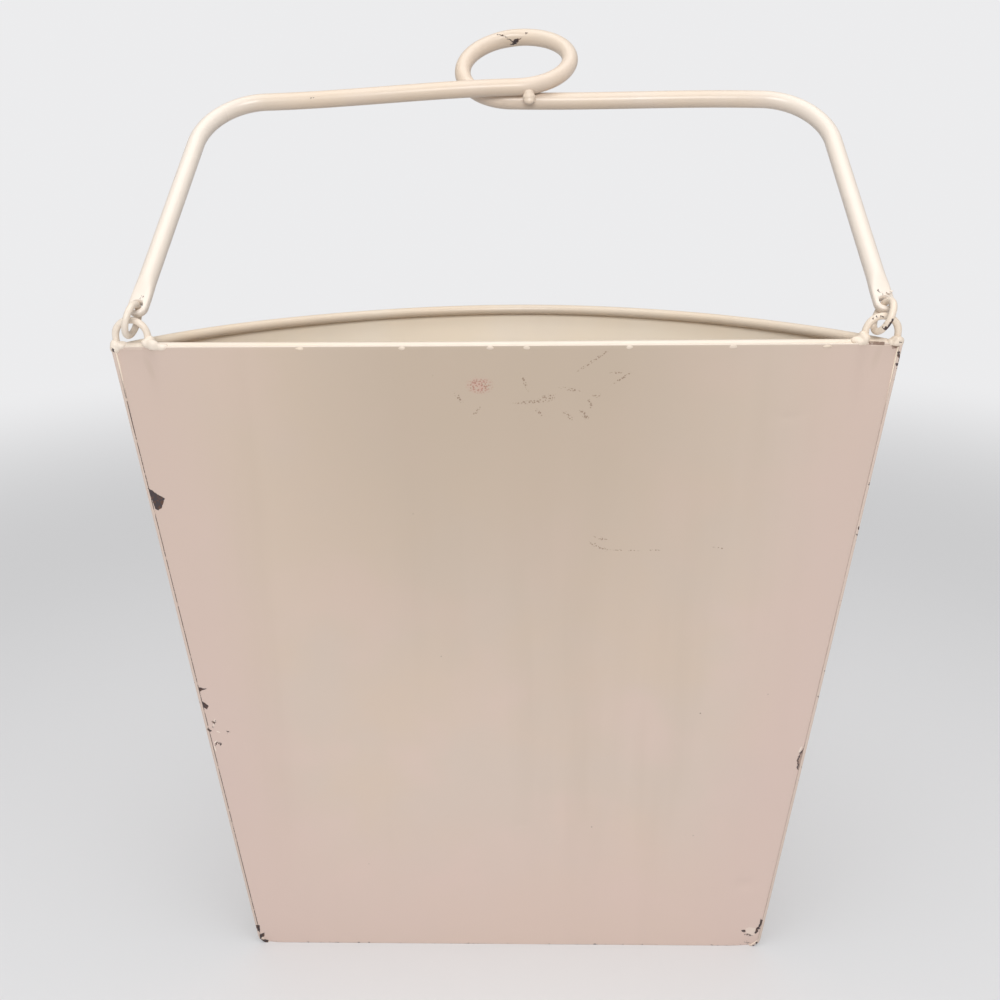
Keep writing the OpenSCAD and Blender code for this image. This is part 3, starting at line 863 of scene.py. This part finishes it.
# Staples
# A short piece of 3 mm wire bent to an arch over each end of the straight rod.
# The inner leg stands on the rod, and the outer one laps over the corner of the wall.
staple_box_low, staple_box_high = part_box("left_staple")
STAPLE_WIRE = 1.5 * MM
STAPLE_RADIUS = 7 * MM
HINGE_X = -(staple_box_low.x + staple_box_high.x) / 2
HINGE_Z = staple_box_high.z - STAPLE_WIRE
staple_low = staple_box_low.z
STAPLE_CHIPS = [
    (156.8, -34.7, 335.6, 0.7, 0.9, 0.5),
    (158.8, -34.9, 336.0, 0.45, 0.9, 0.4),
    (160.4, -35.0, 336.1, 0.55, 0.9, 0.45),
]
link_paint = enamel("link_paint", ROD_TONES, STAPLE_CHIPS, streaks=0.3, gloss=0.32, orange_peel=0.05)
for side, name in ((-1, "left_staple"), (1, "right_staple")):
    spring = HINGE_Z - STAPLE_RADIUS
    over = np.linspace(0, np.pi, 60)
    arch = np.stack([np.cos(over), np.zeros_like(over), np.sin(over)], -1) * STAPLE_RADIUS
    arch[:, 2] += spring
    fall = np.linspace(staple_low, spring, 16)[:-1]
    outer = np.stack([np.full_like(fall, STAPLE_RADIUS), np.zeros_like(fall), fall], -1)
    fall = np.linspace(spring, ROD_Z + ROD_R * 0.4, 14)[1:]
    inner = np.stack([np.full_like(fall, -STAPLE_RADIUS), np.zeros_like(fall), fall], -1)
    path = np.concatenate([outer, arch, inner])
    path[:, 0] = side * (HINGE_X + path[:, 0])
    path[:, 1] += ROD_Y
    low = np.clip((HEIGHT + 0.5 * MM - path[:, 2]) / (2.5 * MM), 0, 1) * (side * path[:, 0] > HINGE_X)
    path[:, 0] -= side * 0.35 * MM * low
    wire = STAPLE_WIRE * (1 + 0.03 * np.sin(np.arange(len(path)) * 0.35))
    make_piece(
        name + "_wire",
        [closed_rings(swept(path, (0, 1, 0), wire, sides=28))],
        "pail",
        link_paint,
        [name],
    )

# Staple welds
# Each foot of a staple is caught with a blob of weld, laid on by hand: a big one with a tail
# along the rod at the left staple's inner leg, and a round one at the right staple's outer leg.
WELD_GRAIN = 0.3 * MM


def fuse(piece, grain=WELD_GRAIN, rounds=5):
    """Melts a piece's shells into one skin: voxels of one grain, relaxed a few rounds, then applied."""
    melt = piece.modifiers.new("melt", "REMESH")
    melt.mode = "VOXEL"
    melt.voxel_size = grain
    melt.use_smooth_shade = True
    relax = piece.modifiers.new("relax", "SMOOTH")
    relax.factor = 0.5
    relax.iterations = rounds
    bpy.context.view_layer.update()
    seen = piece.evaluated_get(bpy.context.evaluated_depsgraph_get())
    melted = bpy.data.meshes.new_from_object(seen)
    piece.modifiers.clear()
    piece.data = melted
    return piece


hinge_mm = HINGE_X / MM
LEFT_LUMPS = [
    ((-hinge_mm + 7.6, face_mm + 2.2, rim_mm + 1.4), (3.1, 2.9, 2.9)),
    ((-hinge_mm + 9.6, face_mm + 0.8, rim_mm + 0.6), (3.4, 2.3, 2.6)),
    ((-hinge_mm + 13, face_mm + 1.1, rim_mm - 0.1), (3.6, 1.7, 1.7)),
    ((-hinge_mm - 7.3, face_mm + 2.4, rim_mm - 0.8), (2.3, 2.5, 3.6)),
    ((-hinge_mm - 4.4, face_mm + 2.4, rim_mm + 0.2), (2.6, 1.9, 1.8)),
]
RIGHT_LUMPS = [
    ((hinge_mm - 7.6, face_mm + 2.4, rim_mm + 1.8), (2.6, 2.6, 3.0)),
    ((hinge_mm - 9.6, face_mm + 2.0, rim_mm + 0.6), (3.4, 2.1, 2.0)),
    ((hinge_mm + 6.3, face_mm + 1.4, rim_mm + 0.6), (3.0, 2.7, 2.7)),
    ((hinge_mm + 4.6, face_mm + 2.2, rim_mm + 0.2), (2.6, 1.9, 1.8)),
]
for lumps, name, start in ((LEFT_LUMPS, "left_staple_welds", 40), (RIGHT_LUMPS, "right_staple_welds", 60)):
    shells = [drop_shell(at, half, start + k, rough=0.1) for k, (at, half) in enumerate(lumps)]
    fuse(make_piece(name[:-1] + "_beads", shells, "pail", weld_paint, [name]))

# Ring links
# A closed link of 2.9 mm wire hangs in each staple and holds one eye of the bail. The bail has slid
# to the right in their slack, so both lean with it. The enamel has cracked off where the wires rub.
RING_R = 6.9 * MM
RING_WIRE = 1.45 * MM
BAIL_LEAN = math.radians(48)
LEFT_LINK_IN = 1.0 * MM
LEFT_EYE_IN = 2.5 * MM
RIGHT_EYE_OUT = 1.4 * MM
LINK_X = {-1: -(HINGE_X - LEFT_LINK_IN), 1: HINGE_X}
EYE_X = {-1: -(HINGE_X - LEFT_EYE_IN), 1: HINGE_X + RIGHT_EYE_OUT}
EYE_REACH = {side: math.sqrt(RING_R**2 - (EYE_X[side] - LINK_X[side]) ** 2) for side in (-1, 1)}
LINK_TWIST = {-1: math.radians(10), 1: math.radians(18)}


def on_bail(points):
    """From the bail's own plane, x across and z along the legs, to its place leaning on the hinge line."""
    c, s = math.cos(BAIL_LEAN), math.sin(BAIL_LEAN)
    x, y, z = np.moveaxis(points, -1, 0)
    return np.stack([x, ROD_Y + y * c + z * s, HINGE_Z - y * s + z * c], -1)


RING_CHIPS = [(162.7, -40.4, 333.6, 1.9, 2.8, 2.6, -35), (161.0, -40.6, 332.0, 1.3, 2.4, 1.1)]
ring_paint = enamel("ring_paint", ROD_TONES, RING_CHIPS, streaks=0.35, gloss=0.32, orange_peel=0.05)
for side, name in ((-1, "left_ring"), (1, "right_ring")):
    t = np.linspace(0, 2 * np.pi, 96, endpoint=False)
    to_eye = np.array([EYE_X[side] - LINK_X[side], 0, EYE_REACH[side]]) / RING_R
    outward = np.array([0, 1, 0])
    level = outward * math.cos(LINK_TWIST[side]) + np.cross(to_eye, outward) * math.sin(LINK_TWIST[side])
    path = RING_R * (np.cos(t)[:, None] * to_eye + np.sin(t)[:, None] * level)
    path += np.array([LINK_X[side], 0, 0])
    facing = np.cross(to_eye, level)
    wire = RING_WIRE * (1 + 0.03 * np.sin(3 * t + side))
    rings = on_bail(swept(path, facing, wire, sides=28, loop=True))
    make_piece(name + "_link", [loop_shell(rings)], name, ring_paint, [name])

# Bail
# One 8 mm rod, bent cold: an eye hammered flat and drilled at each end, two legs, two corners,
# and a crossbar that turns one full loop at its middle, the left run passing in front of the right.
BAIL_R = 4 * MM
TAPER = {-1: math.radians(5.8), 1: math.radians(4.2)}
CORNER_R = 32 * MM
LEFT_RISE = math.radians(1.9)
RIGHT_RISE = math.radians(2.6)
LOOP_REACH = 160 * MM
LOOP_WIDE = 27 * MM
LOOP_HIGH = 21 * MM
LOOP_TILT = math.radians(3)
LOOP_SHIFT = 5.2 * MM
CROSSING = BAIL_R + 0.15 * MM
EYE_R = 4.4 * MM
EYE_THICK = 4.2 * MM
EYE_HOLE = 5.6 * MM
EYE_BLEND = 12 * MM
FLATTENED = 30 * MM
FLAT_ROUNDNESS = 0.55


def ease(t):
    """Smooth step from 0 to 1."""
    return t * t * (3 - 2 * t)


def blend(a, b, t):
    return a + (b - a) * t


def loop_point(t):
    """Point of the loop at angle t from its bottom: an ellipse, tilted in the plane of the bail."""
    wide, high = LOOP_WIDE * np.sin(t), -LOOP_HIGH * np.cos(t)
    c, s = math.cos(LOOP_TILT), math.sin(LOOP_TILT)
    return np.stack([LOOP_SHIFT + wide * c - high * s, LOOP_REACH + wide * s + high * c], -1)


def loop_angle(rise):
    """Angle at which the loop runs at the slope rise."""
    return math.atan(LOOP_WIDE / LOOP_HIGH * math.tan(rise - LOOP_TILT))


def half_bail(middle, rise, side, stop):
    """One half of the bail with its leg to the left, from its eye to where the loop takes over at the
    place stop across, as rows of x, y, z, half width, half thickness and roundness."""
    taper, reach = TAPER[side], EYE_REACH[side]
    leg_x = abs(EYE_X[side]) + reach * math.tan(taper)
    lean = np.array([math.sin(taper), math.cos(taper)])
    corner = (middle - leg_x * math.tan(rise)) / (1 - math.tan(taper) * math.tan(rise))
    bend = math.pi / 2 - taper - rise
    tangent = CORNER_R * math.tan(bend / 2)
    centre = np.array([-(leg_x - corner * math.tan(taper)), corner]) - lean * tangent
    centre += CORNER_R * np.array([math.cos(taper), -math.sin(taper)])

    nose = -EYE_R * np.cos(np.radians(np.linspace(8, 90, 12)))
    d = np.concatenate([nose, np.linspace(0.1, 1, 30) * FLATTENED])
    k = ease(np.clip((d - EYE_R) / EYE_BLEND, 0, 1))
    end = np.sqrt(np.clip(1 - (np.minimum(d, 0) / EYE_R) ** 2, 0, 1))
    z = reach + d * math.cos(taper)
    eye = np.stack(
        [
            -leg_x + z * math.tan(taper),
            0 * d,
            z,
            blend(EYE_R, BAIL_R, k) * end,
            blend(EYE_THICK / 2, BAIL_R, k) * blend(FLAT_ROUNDNESS, 1, end),
            blend(FLAT_ROUNDNESS, 1, k),
        ],
        -1,
    )
    turn = math.pi - taper - bend * np.linspace(0, 1, 40)
    curve = centre + CORNER_R * np.stack([np.cos(turn), np.sin(turn)], -1)
    leg = blend(eye[-1, [0, 2]], curve[0], np.linspace(0, 1, 40)[1:-1, None])
    t = np.linspace(0, 1 - stop / curve[-1, 0], 100)[1:-1]
    bar = np.stack([curve[-1, 0] * (1 - t), blend(curve[-1, 1], middle, t)], -1)
    plain = np.concatenate([leg, curve, bar])
    forward = np.concatenate([np.zeros(len(leg) + len(curve)), -CROSSING * ease(np.clip(t, 0, 1))])
    full = np.full(len(plain), BAIL_R)
    rod = np.stack([plain[:, 0], forward, plain[:, 1], full, full, np.ones(len(plain))], -1)
    return np.concatenate([eye, rod])


start, finish = loop_angle(LEFT_RISE), 2 * math.pi + loop_angle(-RIGHT_RISE)
first, last = loop_point(np.array([start]))[0], loop_point(np.array([finish]))[0]
left_half = half_bail(first[1] - first[0] * math.tan(LEFT_RISE), LEFT_RISE, -1, first[0])
right_half = half_bail(last[1] + last[0] * math.tan(RIGHT_RISE), RIGHT_RISE, 1, -last[0])[::-1]
right_half *= np.array([-1, -1, 1, 1, 1, 1])
share = np.linspace(0, 1, 150)
ellipse = loop_point(start + (finish - start) * share)
flat_spot = 1 - 0.10 * np.exp(-(((share - 0.53) / 0.035) ** 2))
loop = np.stack(
    [
        ellipse[:, 0],
        -CROSSING * np.cos(np.pi * share),
        ellipse[:, 1],
        BAIL_R * flat_spot,
        BAIL_R * (2 - flat_spot),
        np.ones_like(share),
    ],
    -1,
)
rows = np.concatenate([left_half, loop, right_half])
BAIL_CHIPS = [
    (4.8, 97.9, 455.0, 1.9, 1.8, 1.1),
    (2.2, 97.3, 455.9, 2.2, 1.4, 0.45, -20),
    (6.4, 97.4, 455.9, 1.6, 1.4, 0.4, 35),
    (3.2, 98.8, 454.0, 1.3, 1.4, 0.4, 25),
    (-1.4, 96.9, 457.7, 1.8, 1.4, 0.45, -15),
    (-3.9, 97.4, 458.6, 1.2, 1.4, 0.35),
    (10.9, 96.7, 458.5, 0.8, 1.3, 0.4),
    (-157.6, -28.6, 345.3, 0.35, 1.6, 1.5),
    (-156.4, -28.2, 345.6, 0.3, 1.4, 1.1),
    (-157.8, -30.8, 342.9, 0.6, 1.2, 0.5),
    (160.9, -27.6, 346.2, 0.4, 1.6, 1.3),
    (162.2, -28.6, 344.9, 0.4, 1.4, 1.5),
    (163.3, -29.0, 344.6, 0.35, 1.4, 0.7),
    (161.2, -31.8, 342.3, 0.7, 1.2, 0.5),
    (-94.7, 63.2, 428.3, 0.5, 1.5, 0.5),
    (-36.0, 66.3, 431.1, 0.4, 1.5, 0.4),
]
BAIL_TONES = [(0.720, 0.610, 0.500), (0.725, 0.590, 0.462), (0.725, 0.612, 0.525), (0.56, 0.45, 0.34)]
# Painted light: the legs take a whiter tone.
LEG_LIT_TONE = (0.815, 0.735, 0.655)


def bail_coat(paint, where, x, y, z, colour):
    """The bail's coat: peach along the bars and the loop, and whiter down the legs, which is painted light
    for the light the legs catch.
    """
    return paint.mix(paint.step(abs(x), 112 * MM, 146 * MM) * 0.8, colour, LEG_LIT_TONE)


bail_paint = enamel(
    "bail_paint", BAIL_TONES, BAIL_CHIPS, extra=bail_coat, streaks=0.12, gloss=0.27, orange_peel=0.03
)
rings = swept(rows[:, :3], (0, 1, 0), rows[:, 3], rows[:, 4], rows[:, 5], sides=40)
bail = make_piece("bail_rod", [closed_rings(on_bail(rings))], "bail", bail_paint, ["bail"])


def drill(piece, centre, axis, across, depth=20 * MM, sides=48):
    """Cuts a round hole right through a piece, with a closed cylinder as the drill, and applies it."""
    reach = np.linspace(-0.5, 0.5, 2)[:, None] * depth * unit(np.asarray(axis, float))
    core = swept(np.asarray(centre) + reach, (1, 0, 0), across / 2, sides=sides)
    bit = make_piece("drill", [closed_rings(core)], "bail", bail_paint)
    cut = piece.modifiers.new("hole", "BOOLEAN")
    cut.operation = "DIFFERENCE"
    cut.solver = "EXACT"
    cut.object = bit
    bpy.context.view_layer.update()
    seen = piece.evaluated_get(bpy.context.evaluated_depsgraph_get())
    drilled = bpy.data.meshes.new_from_object(seen)
    piece.modifiers.clear()
    piece.data = drilled
    bpy.data.objects.remove(bit)


for side in (-1, 1):
    eye_centre = on_bail(np.array([EYE_X[side], 0, EYE_REACH[side]]))
    through = on_bail(np.array([EYE_X[side], 1, EYE_REACH[side]])) - eye_centre
    drill(bail, eye_centre, through, EYE_HOLE)

# Paint burr
# A curl of thick enamel stands out at the end of the right leg, where the coat has lifted
# off the flattened steel.
BURR = [((164.6, -28.0, 345.0), (1.1, 0.6, 0.5)), ((165.6, -27.8, 345.6), (0.7, 0.4, 0.35))]
curls = [drop_shell(at, half, 90 + k, rough=0.3, rows=12, columns=16) for k, (at, half) in enumerate(BURR)]
make_piece("bail_paint_burr", curls, "bail", bail_paint)

# Loop tack weld
# One drop of weld ties the rod to itself where the loop crosses in front of the crossbar.
LOOP_WELD = [
    ((11.4, -3.6, 135.8), (2.6, 1.7, 1.9)),
    ((11.6, -2.4, 134.1), (3.1, 2.1, 2.2)),
    ((11.8, -1.4, 132.5), (2.8, 1.7, 1.9)),
]
shells = []
for k, (at, half) in enumerate(LOOP_WELD):
    points, faces = drop_shell(at, half, 80 + k, rough=0.04)
    shells.append((on_bail(points), faces))
weld = make_piece("loop_tack_bead", shells, "bail", bail_paint, ["loop_tack_weld"])
fuse(weld, rounds=14)

# Floor and light
# A pale floor that fades into a pale surround, a wide soft lamp overhead and a smaller one in front.
SURROUND = (0.84, 0.84, 0.85)
FLOOR_COLOUR = (0.76, 0.76, 0.77)
FLOOR_HALF = 30
floor_mesh = bpy.data.meshes.new("floor")
corners = FLOOR_HALF * np.array([(-1, -1, 0), (1, -1, 0), (1, 1, 0), (-1, 1, 0)], float)
floor_mesh.from_pydata(corners.tolist(), [], [(0, 1, 2, 3)])
floor = bpy.data.objects.new("floor", floor_mesh)
bpy.context.collection.objects.link(floor)
ground = Paint("ground")
ground_place = ground.place()
far = ground.node("VectorMath", {"operation": "LENGTH"}, ground_place)
grain = ground.noise(ground_place, 60, detail=4)
lit = ground.node("BsdfPrincipled", {}, Base_Color=FLOOR_COLOUR, Roughness=grain * 0.1 + 0.55)
glow = ground.node("Emission", {}, Color=SURROUND, Strength=1.0)
ray = ground.node("LightPath", {})
seen_directly = ray | Value(ground, ray.socket.node.outputs["Is Glossy Ray"])
fade = ground.step(far, 0.55, 1.5) * seen_directly
ground.node("OutputMaterial", {}, Surface=ground.node("MixShader", {}, fade, lit, glow))
floor_mesh.materials.append(ground.material)

LAMPS = [
    ("overhead", (0.0, -0.1, 1.5), 1.2, 8.9),
    ("front", (0.0, -1.2, 0.9), 0.5, 9.3),
]
TARGET = np.array([0, 0, 0.2])
for name, place, size, power in LAMPS:
    lamp = bpy.data.objects.new(name, bpy.data.lights.new(name, "AREA"))
    lamp.data.size = size
    lamp.data.energy = power
    back_axis = unit(np.array(place) - TARGET)
    side_axis = unit(np.cross((0, 1, 0.01), back_axis))
    turned = np.eye(4)
    turned[:3, 0], turned[:3, 1], turned[:3, 2] = side_axis, np.cross(back_axis, side_axis), back_axis
    turned[:3, 3] = place
    lamp.matrix_world = Matrix(turned.tolist())
    bpy.context.collection.objects.link(lamp)

AMBIENT = 0.45
world = bpy.data.worlds.new("surround")
bpy.context.scene.world = world
world.use_nodes = True
sky = world.node_tree
sky.nodes.clear()
path_node = sky.nodes.new("ShaderNodeLightPath")
pale = sky.nodes.new("ShaderNodeBackground")
pale.inputs["Color"].default_value = (*SURROUND, 1)
dim = sky.nodes.new("ShaderNodeBackground")
dim.inputs["Color"].default_value = (1, 1, 1, 1)
dim.inputs["Strength"].default_value = AMBIENT
chosen = sky.nodes.new("ShaderNodeMixShader")
out = sky.nodes.new("ShaderNodeOutputWorld")
sky.links.new(path_node.outputs["Is Camera Ray"], chosen.inputs[0])
sky.links.new(dim.outputs[0], chosen.inputs[1])
sky.links.new(pale.outputs[0], chosen.inputs[2])
sky.links.new(chosen.outputs[0], out.inputs[0])
bpy.context.scene.view_settings.view_transform = "Standard"
